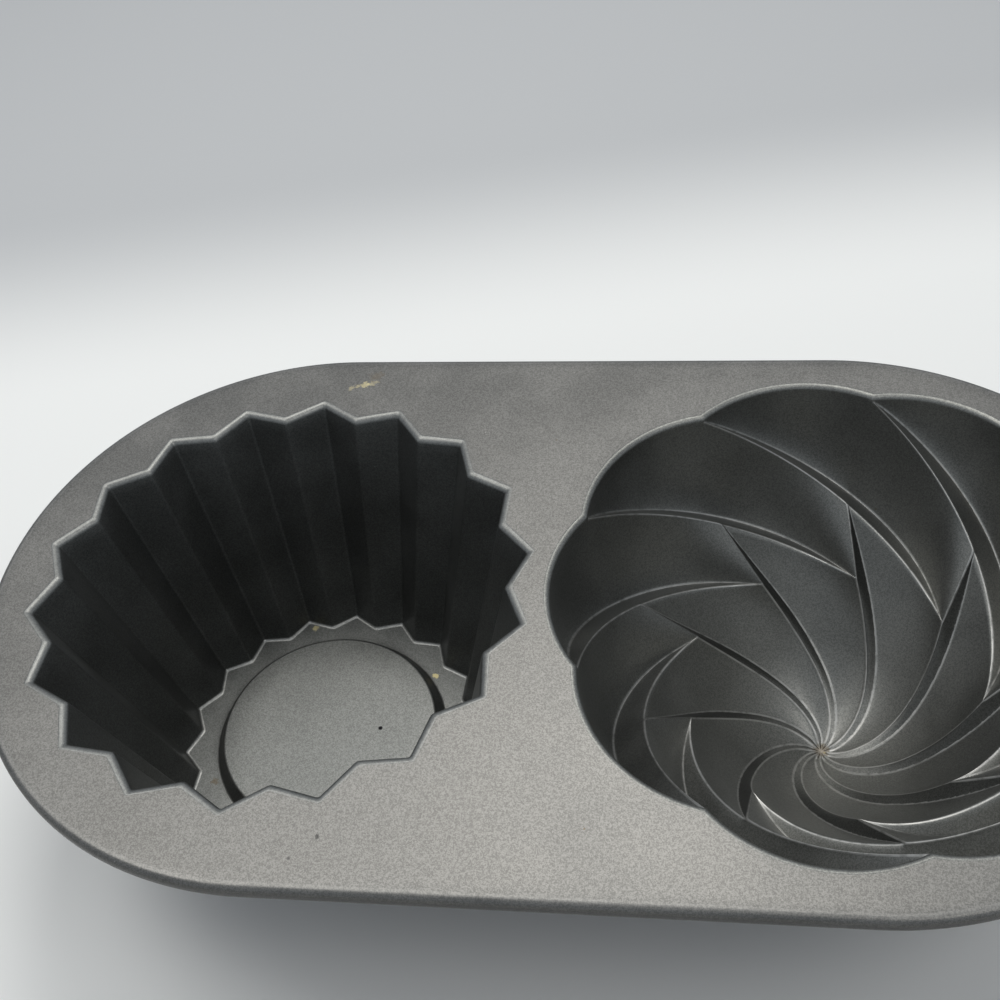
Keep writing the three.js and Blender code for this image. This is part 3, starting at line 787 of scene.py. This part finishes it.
def flange_profile(sizes):
    """Insets and heights round the flange's edge, from its top to its underside in the lip."""
    sine, cosine = quarter(ROUND_STEPS)
    edge, lip, width = sizes.edge_round, sizes.lip_round, sizes.lip_width
    out, down = 1 - cosine, LIP_BOTTOM + lip * (1 - sine)
    insets = [
        [edge + RIM_LAND], edge * (1 - sine), [0, PARTING_LINE, sizes.lip_set_back],
        sizes.lip_set_back + lip * out, (width - lip * cosine)[::-1], [width, width + LAND]]
    heights = [
        [HEIGHT], HEIGHT - edge * out,
        [UNDERSIDE + PARTING_LINE, UNDERSIDE, UNDERSIDE - PARTING_LINE],
        down, down[::-1], [UNDERSIDE, UNDERSIDE]]
    return np.concatenate(insets), np.concatenate(heights)


def make_flange(sizes, cup, swirl, look):
    """The flange: flat faces with both mouths cut out, a rounded edge, a parting line and a lip."""
    work = Patchwork()
    cup_top, cup_under = cup_seams(cup, sizes)
    swirl_top, swirl_under = swirl_seams(swirl, sizes)
    insets, heights = flange_profile(sizes)
    depths = HEIGHT - heights
    # Painted highlight at the top of the edge's rounding, and a line along the parting line that is
    # partly wear and partly painted highlight
    at_line = np.abs(heights - UNDERSIDE) + LINE_FADES_IN * insets
    at_edge = np.abs(insets - sizes.edge_round) + depths
    # Painted shade down the deck's side, none on the lip below the parting line
    side_painted_shade = SIDE_PAINTED_SHADE * np.clip(depths / sizes.edge_round, 0, 1)
    painted_shade = np.where(depths > HEIGHT - UNDERSIDE, 0, side_painted_shade)
    loops = [flange_loop(inset, z) for inset, z in zip(insets, heights)]
    work.add(closed(loops), crest=np.minimum(at_line, at_edge)[:, None], step=painted_shade[:, None])
    work.add_triangles(*holed(loops[0], cup_top, swirl_top))
    work.add_triangles(*holed(loops[-1], cup_under, swirl_under))
    work.add(closed([cup_top, cup_under]), flat=True)
    work.add_triangles(*ribbon(swirl_top, swirl_under))
    return make_object("flange", work, look, ("flange_deck", "flange_lip"))


def holed(outline, *holes):
    """Triangles of a flat outline with holes in it."""
    loops = (outline, *holes)
    points = np.concatenate(loops)
    triangles = np.array(tessellate_polygon([loop.tolist() for loop in loops]))
    a, b, c = (points[corner] for corner in triangles.T)
    area = np.linalg.norm(np.cross(b - a, c - a), axis=1)
    return points, triangles[area > LEAST_AREA]


def put(tree, kind, inputs=(), **settings):
    """A node with its settings made, and each input linked from a socket or set to a value."""
    node = tree.nodes.new(kind)
    for key, value in settings.items():
        setattr(node, key, value)
    for key, value in dict(inputs).items():
        if isinstance(value, bpy.types.NodeSocket):
            tree.links.new(value, node.inputs[key])
        else:
            node.inputs[key].default_value = value
    return node


def calc(tree, operation, a, b):
    return put(tree, "ShaderNodeMath", {0: a, 1: b}, operation=operation).outputs[0]


def times(tree, a, b):
    return calc(tree, "MULTIPLY", a, b)


def vector(tree, operation, inputs):
    return put(tree, "ShaderNodeVectorMath", inputs, operation=operation).outputs


def fade(tree, value, start, end, low=0.0, high=1.0):
    """A smooth step of a value, from low at start to high at end."""
    inputs = {"Value": value, "From Min": start, "From Max": end, "To Min": low, "To Max": high}
    step = put(tree, "ShaderNodeMapRange", inputs, interpolation_type="SMOOTHSTEP")
    return step.outputs["Result"]


def around(tree, mask, middle, spread):
    """A value that a mask moves by a spread to either side of its middle."""
    return fade(tree, mask, 0.0, 1.0, middle - spread, middle + spread)


def tint(tree, factor, a, b):
    return put(tree, "ShaderNodeMix", {0: factor, 6: a, 7: b}, data_type="RGBA").outputs[2]


def place_of(tree):
    return put(tree, "ShaderNodeTexCoord").outputs["Object"]


NOISE_ROUGHNESS = 0.55
FINE_DETAIL = 3.0


def noise(tree, scale, detail=1.0):
    """Noise over the object's own coordinates, with a scale in cells to the metre."""
    inputs = {"Vector": place_of(tree), "Scale": scale, "Detail": detail,
              "Roughness": NOISE_ROUGHNESS}
    return put(tree, "ShaderNodeTexNoise", inputs).outputs[0]


def make_group(name, inputs, fill):
    """A shader node group that puts out one value: fill makes its nodes and gives the value."""
    tree = bpy.data.node_groups.new(name, "ShaderNodeTree")
    for label, value in inputs.items():
        kind = "NodeSocketVector" if isinstance(value, tuple) else "NodeSocketFloat"
        tree.interface.new_socket(label, in_out="INPUT", socket_type=kind).default_value = value
    tree.interface.new_socket("Mask", in_out="OUTPUT", socket_type="NodeSocketFloat")
    value = fill(tree, tree.nodes.new("NodeGroupInput").outputs)
    tree.links.new(value, tree.nodes.new("NodeGroupOutput").inputs[0])
    return tree


# How coarse the grain's second noise is, its share, and the band that is stretched
GRAIN_COARSE = 2.2
GRAIN_COARSE_SHARE = 0.38
GRAIN_BAND = (0.3, 0.7)
CLOUD_BAND = (0.32, 0.68)
# Share of a speck's radius within which it is full
SPECK_CORE = 0.4
# Noise that breaks up the lines of wear and painted highlight, and frays marks, in cells to the
# metre, with its bands
LINE_BREAKS = 320.0
LINE_BREAK_BAND = (0.3, 0.55)
MARK_FRAYS = 900.0
MARK_BAND = (1.0, 0.55)


def grain_nodes(tree, given):
    """Two sizes of noise, one a few times as coarse, stretched to run from 0 to 1."""
    scale = calc(tree, "DIVIDE", 1.0, given["Size"])
    fine = times(tree, noise(tree, scale), 1 - GRAIN_COARSE_SHARE)
    coarse = noise(tree, calc(tree, "DIVIDE", scale, GRAIN_COARSE))
    both = calc(tree, "ADD", fine, times(tree, coarse, GRAIN_COARSE_SHARE))
    return fade(tree, both, *GRAIN_BAND)


def mottling_nodes(tree, given):
    """Soft clouds, from 0 to 1."""
    scale = calc(tree, "DIVIDE", 1.0, given["Size"])
    return fade(tree, noise(tree, scale, FINE_DETAIL), *CLOUD_BAND)


def speck_nodes(tree, given):
    """Round dots in a given share of the cells of a random pattern."""
    scale = calc(tree, "DIVIDE", 1.0, given["Size"])
    cells = put(tree, "ShaderNodeTexVoronoi", {"Vector": place_of(tree), "Scale": scale}).outputs
    lot = put(tree, "ShaderNodeSeparateColor", {"Color": cells["Color"]}).outputs[0]
    chosen = calc(tree, "LESS_THAN", lot, given["Share"])
    core = times(tree, given["Dot"], SPECK_CORE)
    return times(tree, chosen, fade(tree, cells["Distance"], given["Dot"], core))


def wear_and_highlight_nodes(tree, given):
    """A line along a crest or a root, partly wear and partly painted highlight, full within half
    its width, and broken up by noise.
    """
    line = fade(tree, given["Gap"], given["Width"], times(tree, given["Width"], 0.5))
    breaks = noise(tree, LINE_BREAKS, FINE_DETAIL)
    return times(tree, line, fade(tree, breaks, *LINE_BREAK_BAND, given["Least"], 1.0))


def mark_nodes(tree, given):
    """A ragged spot round a place: its distance, pushed about by noise, against its radius."""
    away = vector(tree, "DISTANCE", {0: place_of(tree), 1: given["Place"]})["Value"]
    frays = calc(tree, "SUBTRACT", noise(tree, MARK_FRAYS, FINE_DETAIL), 0.5)
    pushed = calc(tree, "ADD", calc(tree, "DIVIDE", away, given["Radius"]),
                  times(tree, frays, given["Ragged"]))
    return fade(tree, pushed, *MARK_BAND)


# Inputs of each shared group with their defaults, and what makes its nodes
GROUPS = {
    "coating_grain": ({"Size": 0.45 * MM}, grain_nodes),
    "mottling": ({"Size": 30 * MM}, mottling_nodes),
    "specks": ({"Size": 6 * MM, "Share": 0.1, "Dot": 0.06}, speck_nodes),
    "wear_and_highlight_line": ({"Gap": FAR, "Width": 0.5 * MM, "Least": 0.3}, wear_and_highlight_nodes),
    "mark": ({"Place": (0.0, 0.0, 0.0), "Radius": 1 * MM, "Ragged": 1.2}, mark_nodes),
}


def effect(tree, name, **inputs):
    """One of the shared groups, built once, and placed with its own values."""
    group = bpy.data.node_groups.get(name) or make_group(name, *GROUPS[name])
    return put(tree, "ShaderNodeGroup", inputs, node_tree=group).outputs[0]


def gap_of(tree, label):
    return put(tree, "ShaderNodeAttribute", attribute_name=label).outputs["Fac"]


# Marks of use: place and radius in millimetres, raggedness, strength, and the finish's colour
MARKS = {
    "flange": (
        ((-88.7, 93.2, 101.5), 1.4, 2.8, 0.28, "fleck"),
        ((-86.5, 94.3, 101.5), 1.4, 2.8, 0.32, "fleck"),
        ((-83.9, 94.8, 101.5), 1.9, 2.4, 0.45, "fleck"),
        ((-81.7, 95.4, 101.5), 1.5, 2.8, 0.3, "fleck"),
        ((-79.9, 96.5, 101.5), 1.2, 2.8, 0.24, "fleck"),
        ((-80.2, 99.4, 101.5), 3.2, 2.2, 0.24, "residue"),
        ((-66.8, -91.7, 101.5), 0.9, 1.6, 0.5, "pit"),
        ((-73.9, -98.6, 101.5), 0.7, 1.6, 0.4, "pit"),
    ),
    "cup": (
        ((-77.8, 0.1, 10.75), 1.0, 0.5, 1.0, "pit"),
        ((-60.9, 29.1, 4.0), 1.5, 1.4, 0.9, "fleck"),
        ((-114.7, 51.1, 4.5), 1.6, 2.0, 0.75, "fleck"),
        ((-140.2, -21.6, 4.0), 1.6, 2.4, 0.45, "residue"),
    ),
    "swirl": (
        ((87.8, 0.2, 4.6), 3.4, 1.4, 0.6, "residue"),
        ((88.8, -0.8, 4.6), 0.9, 1.6, 0.6, "fleck"),
    ),
}
# Each part's coating against the flange's, in red, green and blue: the swirl's lighter tint is
# painted light, and the cup's bluer tint is the painted cast of its shaded walls
PAINTED_LIGHT_TINTS = {"flange": (1, 1, 1), "cup": (0.96, 1.0, 1.01), "swirl": (1.2, 1.23, 1.22)}
# How strongly crests and roots are lightened on each part, partly as wear and partly as painted
# highlight, and the least that noise leaves of such a line
WEAR_AND_HIGHLIGHT = {"flange": (0.09, 0.0), "cup": (0.15, 0.3), "swirl": (0.75, 0.6)}
LEAST_WEAR_AND_HIGHLIGHT = (0.45, 0.3)
CLOUD_SIZE = 34 * MM
CLOUD_CONTRAST = 0.07
CLOUD_ROUGHNESS = 0.025
# Specks all over: pattern, strength, and the finish's colour
SPECKS = (
    ({"Size": 9 * MM, "Share": 0.16, "Dot": 0.045}, 0.6, "residue"),
    ({"Size": 5 * MM, "Share": 0.1, "Dot": 0.05}, 0.55, "worn_and_highlight"),
)
STAIN_ROUGHNESS = 0.2
# Height of the grain beside that of the coarser cast skin outside
GRAIN_HEIGHT = 0.3
CAST_GRAIN = 1.3 * MM
BUMP = {"Strength": 0.5, "Distance": 0.03 * MM}


def surface(name):
    """A new material, with its tree and the inputs of its shader."""
    material = bpy.data.materials.new(name)
    material.use_nodes = True
    tree = material.node_tree
    return material, tree, tree.nodes["Principled BSDF"].inputs


def coating(look, part):
    """The baked coating of one piece: grain, clouds and specks over its colour, painted shade on
    steps and the flange's side, lines along crests and roots that are partly wear and partly
    painted highlight, its own marks, and a cast skin under the coating outside."""
    material, tree, shader = surface(f"{part}_coating")
    grain = effect(tree, "coating_grain", Size=look.grain)
    clouds = effect(tree, "mottling", Size=CLOUD_SIZE)
    shade = times(tree, around(tree, grain, 1, look.grain_contrast),
                  around(tree, clouds, 1, CLOUD_CONTRAST))
    # Painted shade on the faces of steps and on the flange's side
    steps = fade(tree, gap_of(tree, "step"), 0.0, 1.0, 1.0, 1 - look.step_painted_shade)
    shade = times(tree, shade, steps)
    # Painted light: each part's coating lightened or tinted against the flange's
    base = tuple(np.multiply(look.base, PAINTED_LIGHT_TINTS[part]))
    colour = vector(tree, "SCALE", {0: base, "Scale": shade})[0]

    layers = [("specks", *speck) for speck in SPECKS]
    # Lines along crests and roots, partly wear and partly painted highlight
    for label, least, strength in zip(CARRIED, LEAST_WEAR_AND_HIGHLIGHT, WEAR_AND_HIGHLIGHT[part]):
        values = {"Gap": gap_of(tree, label), "Width": look.wear_and_highlight_width, "Least": least}
        layers.append(("wear_and_highlight_line", values, strength, "worn_and_highlight"))
    for place, radius, ragged, strength, kind in MARKS[part]:
        place = tuple(value * MM for value in place)
        values = {"Place": place, "Radius": radius * MM, "Ragged": ragged}
        layers.append(("mark", values, strength, kind))
    stained = 0.0
    for name, values, strength, kind in layers:
        amount = times(tree, effect(tree, name, **values), strength)
        colour = tint(tree, amount, colour, (*getattr(look, kind), 1))
        if name == "mark":
            stained = calc(tree, "MAXIMUM", stained, amount)
    tree.links.new(colour, shader["Base Color"])

    rough = around(tree, clouds, look.roughness, CLOUD_ROUGHNESS)
    rough = calc(tree, "ADD", rough, times(tree, stained, STAIN_ROUGHNESS))
    tree.links.new(rough, shader["Roughness"])
    shader["Metallic"].default_value = look.metallic
    cast = times(tree, effect(tree, "coating_grain", Size=CAST_GRAIN), gap_of(tree, "outside"))
    height = calc(tree, "ADD", times(tree, grain, GRAIN_HEIGHT), cast)
    bump = put(tree, "ShaderNodeBump", {**BUMP, "Height": height})
    tree.links.new(bump.outputs[0], shader["Normal"])
    return material


# Camera of the photograph, from a fit to the flange, both rims and the swirl. Its turns from
# straight down, in degrees, are its yaw, its rise and its roll
CAMERA_PLACE = (34.0 * MM, -261.1 * MM, 439.3 * MM)
CAMERA_TURNS = (("Z", 11.479), ("X", 42.023), ("Z", -8.016))
CAMERA_LENS = 47.38
SENSOR = 36
CLIP = (0.01, 20)


def make_camera():
    camera = bpy.data.cameras.new("photo_camera")
    camera.lens = CAMERA_LENS
    camera.sensor_width = SENSOR
    camera.clip_start, camera.clip_end = CLIP
    obj = placed("photo_camera", camera)
    obj.matrix_world = Matrix.Translation(CAMERA_PLACE)
    for axis, degrees in CAMERA_TURNS:
        obj.matrix_world @= Matrix.Rotation(math.radians(degrees), 4, axis)
    bpy.context.scene.camera = obj


STAGE_REACH = 3
FLOOR_ROUGHNESS = 0.7
# Painted shade of a backdrop's sweep: the floor darkens along this direction, between these two
# distances from the pan
SWEEP_AXIS = (-0.2, 0.98, 0)
SWEEP = (0.24, 0.41)
# Each lamp's place, across and back from the pan, with its share of the power
LAMPS = {
    "back": (0.0, 0.58, 0.4),
    "left": (-0.6, 0.05, 0.245),
    "back left": (-0.6, 0.55, 0.115),
    "front right": (0.6, -0.45, 0.18),
    "back right": (0.6, 1.05, 0.06),
}


def make_floor(studio):
    """A pale floor with painted shade that darkens it behind the pan."""
    mesh = bpy.data.meshes.new("floor")
    far = STAGE_REACH
    corners = [(-far, -far, 0), (far, -far, 0), (far, far, 0), (-far, far, 0)]
    mesh.from_pydata(corners, [], [(0, 1, 2, 3)])
    material, tree, shader = surface("floor")
    behind = vector(tree, "DOT_PRODUCT", {0: place_of(tree), 1: SWEEP_AXIS})["Value"]
    # Painted shade: the floor's colour darkens behind the pan
    paint = tint(tree, fade(tree, behind, *SWEEP), (*studio.floor, 1), (*studio.floor_painted_shade, 1))
    tree.links.new(paint, shader["Base Color"])
    shader["Roughness"].default_value = FLOOR_ROUGHNESS
    mesh.materials.append(material)
    floor = placed("floor", mesh)


def make_lamps(studio):
    """Soft square lamps overhead, turned to the pan."""
    for name, (across, back, share) in LAMPS.items():
        lamp = bpy.data.lights.new(f"{name} lamp", "AREA")
        lamp.size = studio.lamp_size
        lamp.energy = studio.lamp_power * share
        lamp.color = studio.lamp_colour
        obj = placed(lamp.name, lamp)
        obj.location = (across, back, studio.lamp_height)
        obj.rotation_euler = obj.location.to_track_quat("Z", "Y").to_euler()


def make_room(studio):
    """A pale room: dull surfaces get its fill, and all else sees its backdrop."""
    world = bpy.data.worlds.new("room")
    world.use_nodes = True
    tree = world.node_tree
    path = put(tree, "ShaderNodeLightPath").outputs
    clear = calc(tree, "MAXIMUM", path["Is Glossy Ray"], path["Is Transmission Ray"])
    seen = calc(tree, "MAXIMUM", path["Is Camera Ray"], clear)
    shown = tint(tree, seen, (*studio.fill, 1), (*studio.backdrop, 1))
    tree.links.new(shown, tree.nodes["Background"].inputs["Color"])
    bpy.context.scene.world = world
    bpy.context.scene.view_settings.view_transform = "Standard"


def made(piece):
    """Ends an operator: the piece has to have faces."""
    if not piece.data.polygons:
        raise RuntimeError(f"{piece.name} has no faces")
    return {"FINISHED"}


class PAN_OT_make_cup(bpy.types.Operator):
    """Make the fluted cup, with its floor and the raised disc"""
    bl_idname = "pan.make_cup"
    bl_label = "Make cup"

    def execute(self, context):
        scene = context.scene
        return made(make_cup(scene.pan_cup, scene.pan_flange, scene.pan_finish))


class PAN_OT_make_swirl(bpy.types.Operator):
    """Make the swirl of petals, with its foot"""
    bl_idname = "pan.make_swirl"
    bl_label = "Make swirl"

    def execute(self, context):
        scene = context.scene
        return made(make_swirl(scene.pan_swirl, scene.pan_flange, scene.pan_finish))


class PAN_OT_make_flange(bpy.types.Operator):
    """Make the flange round both cavities, with its turned-down lip"""
    bl_idname = "pan.make_flange"
    bl_label = "Make flange"

    def execute(self, context):
        scene = context.scene
        return made(make_flange(scene.pan_flange, scene.pan_cup, scene.pan_swirl, scene.pan_finish))


class PAN_OT_make_stage(bpy.types.Operator):
    """Make the camera, the floor, the lamps and the room"""
    bl_idname = "pan.make_stage"
    bl_label = "Make stage"

    def execute(self, context):
        studio = context.scene.pan_studio
        make_camera()
        make_floor(studio)
        make_lamps(studio)
        make_room(studio)
        return {"FINISHED"}


SETTINGS = {
    "pan_flange": FlangeSizes,
    "pan_cup": CupSizes,
    "pan_swirl": SwirlSizes,
    "pan_finish": Finish,
    "pan_studio": Studio,
}
OPERATORS = (PAN_OT_make_cup, PAN_OT_make_swirl, PAN_OT_make_flange, PAN_OT_make_stage)


class PAN_PT_sidebar(bpy.types.Panel):
    """Sizes, finish and studio of the cake pan, and the steps that build it"""
    bl_idname = "PAN_PT_sidebar"
    bl_label = "Cake pan"
    bl_space_type = "VIEW_3D"
    bl_region_type = "UI"
    bl_category = "Cake pan"

    def draw(self, context):
        for name, cls in SETTINGS.items():
            box = self.layout.box()
            box.label(text=name.replace("pan_", "").capitalize())
            for key in cls.__annotations__:
                box.prop(getattr(context.scene, name), key)
        for operator in OPERATORS:
            self.layout.operator(operator.bl_idname)


CLASSES = (*SETTINGS.values(), *OPERATORS, PAN_PT_sidebar)


def register():
    for cls in CLASSES:
        bpy.utils.register_class(cls)
    for name, cls in SETTINGS.items():
        setattr(bpy.types.Scene, name, bpy.props.PointerProperty(type=cls))


def unregister():
    for name in SETTINGS:
        delattr(bpy.types.Scene, name)
    for cls in reversed(CLASSES):
        bpy.utils.unregister_class(cls)


def main():
    register()
    bpy.ops.pan.make_stage()
    bpy.ops.pan.make_cup()
    bpy.ops.pan.make_swirl()
    bpy.ops.pan.make_flange()


if __name__ == "__main__":
    main()
